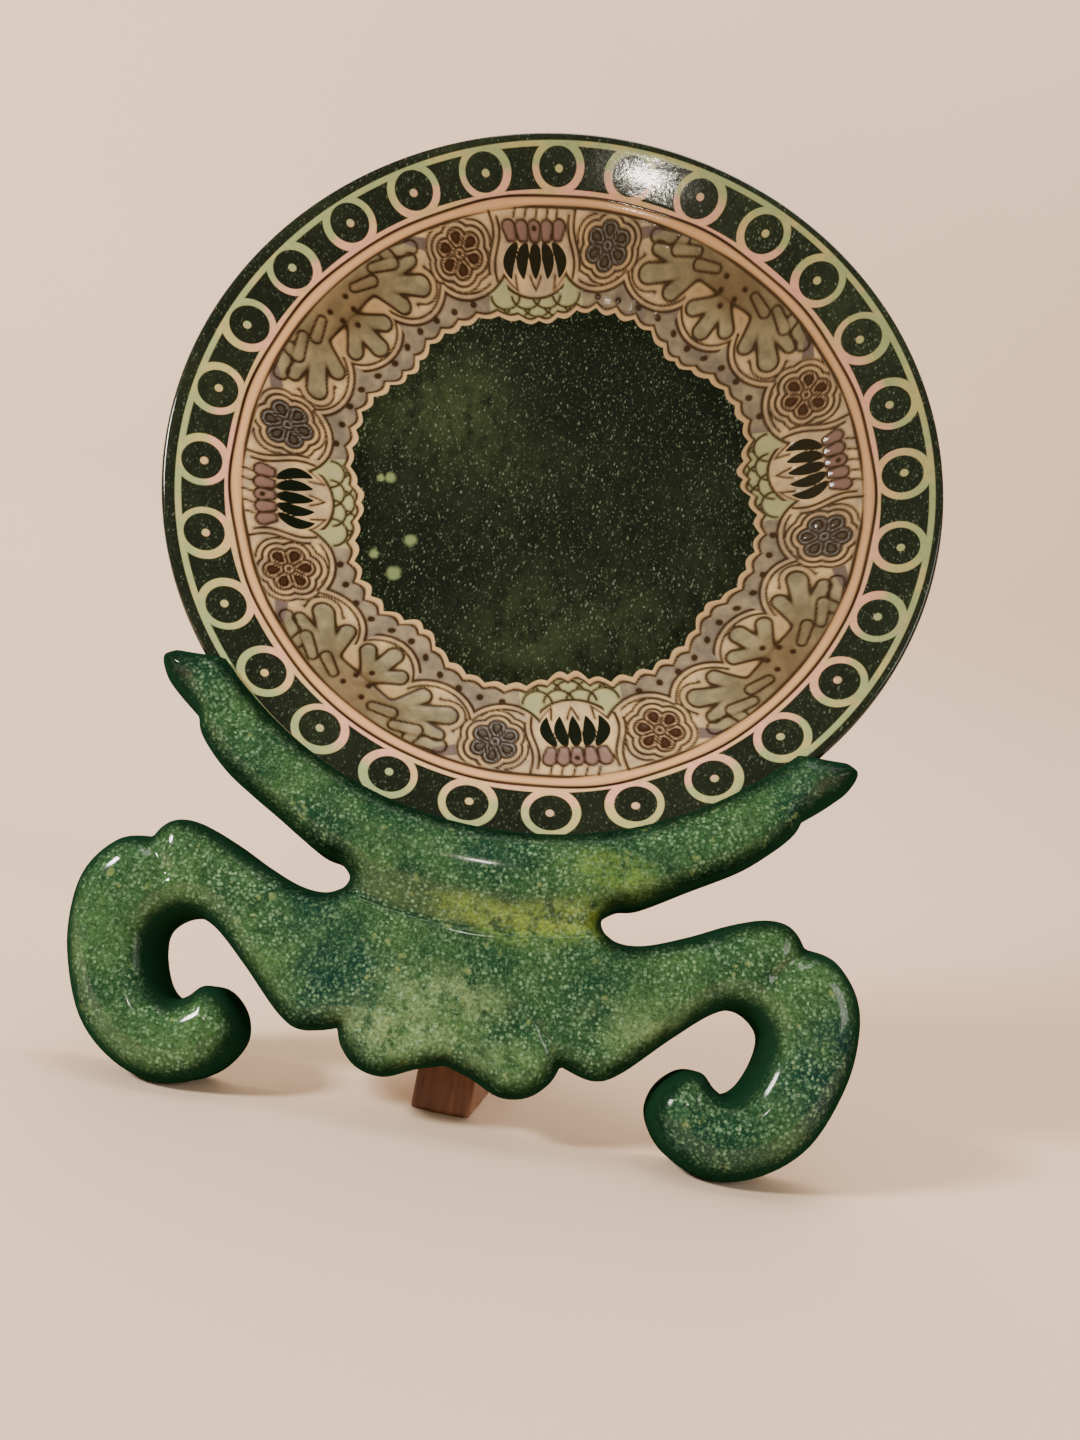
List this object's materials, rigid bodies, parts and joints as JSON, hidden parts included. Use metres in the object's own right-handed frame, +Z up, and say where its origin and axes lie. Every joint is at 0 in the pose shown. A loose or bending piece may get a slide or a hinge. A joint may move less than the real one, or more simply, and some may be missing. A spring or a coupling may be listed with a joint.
{
  "type": "display plate on a stand",
  "caption": "Round china display plate held in the grooved cradle of a carved panel stand, with a hinged wooden brace that folds flat behind it.",
  "frame": {"origin": "middle of the stand's footprint, on the surface that it stands on", "axes": "+Z up, the plate's face and the carved panel look towards -Y and lean back 14 degrees, +X is to the viewer's right"},
  "size_m": [0.32, 0.1426, 0.4122],
  "materials": {
    "plate_glaze": "gloss",
    "panel_lacquer": "gloss",
    "brace_wood": "satin",
    "hinge_brass": "satin",
    "screw_brass": "satin"
  },
  "bodies": {
    "stand": {"front_panel": "panel_lacquer", "upper_fixed_leaf": "hinge_brass", "lower_fixed_leaf": "hinge_brass", "upper_hinge_pin": "hinge_brass", "lower_hinge_pin": "hinge_brass", "panel_screws": "screw_brass"},
    "brace": {"rear_brace": "brace_wood", "upper_moving_leaf": "hinge_brass", "lower_moving_leaf": "hinge_brass", "brace_screws": "screw_brass"},
    "plate": {"plate": "plate_glaze"}
  },
  "joints": [
    {"name": "brace_fold", "type": "hinge", "parent": "stand", "child": "brace", "pos_m": [0.0149, -0.02426, 0.05023], "axis": [0, -0.2419, -0.9703], "range_deg": [-9, 81]},
    {"name": "plate_lift", "type": "slide", "parent": "stand", "child": "plate", "axis": [0, 0.2419, 0.9703], "range_m": [0, 0.1]}
  ]
}
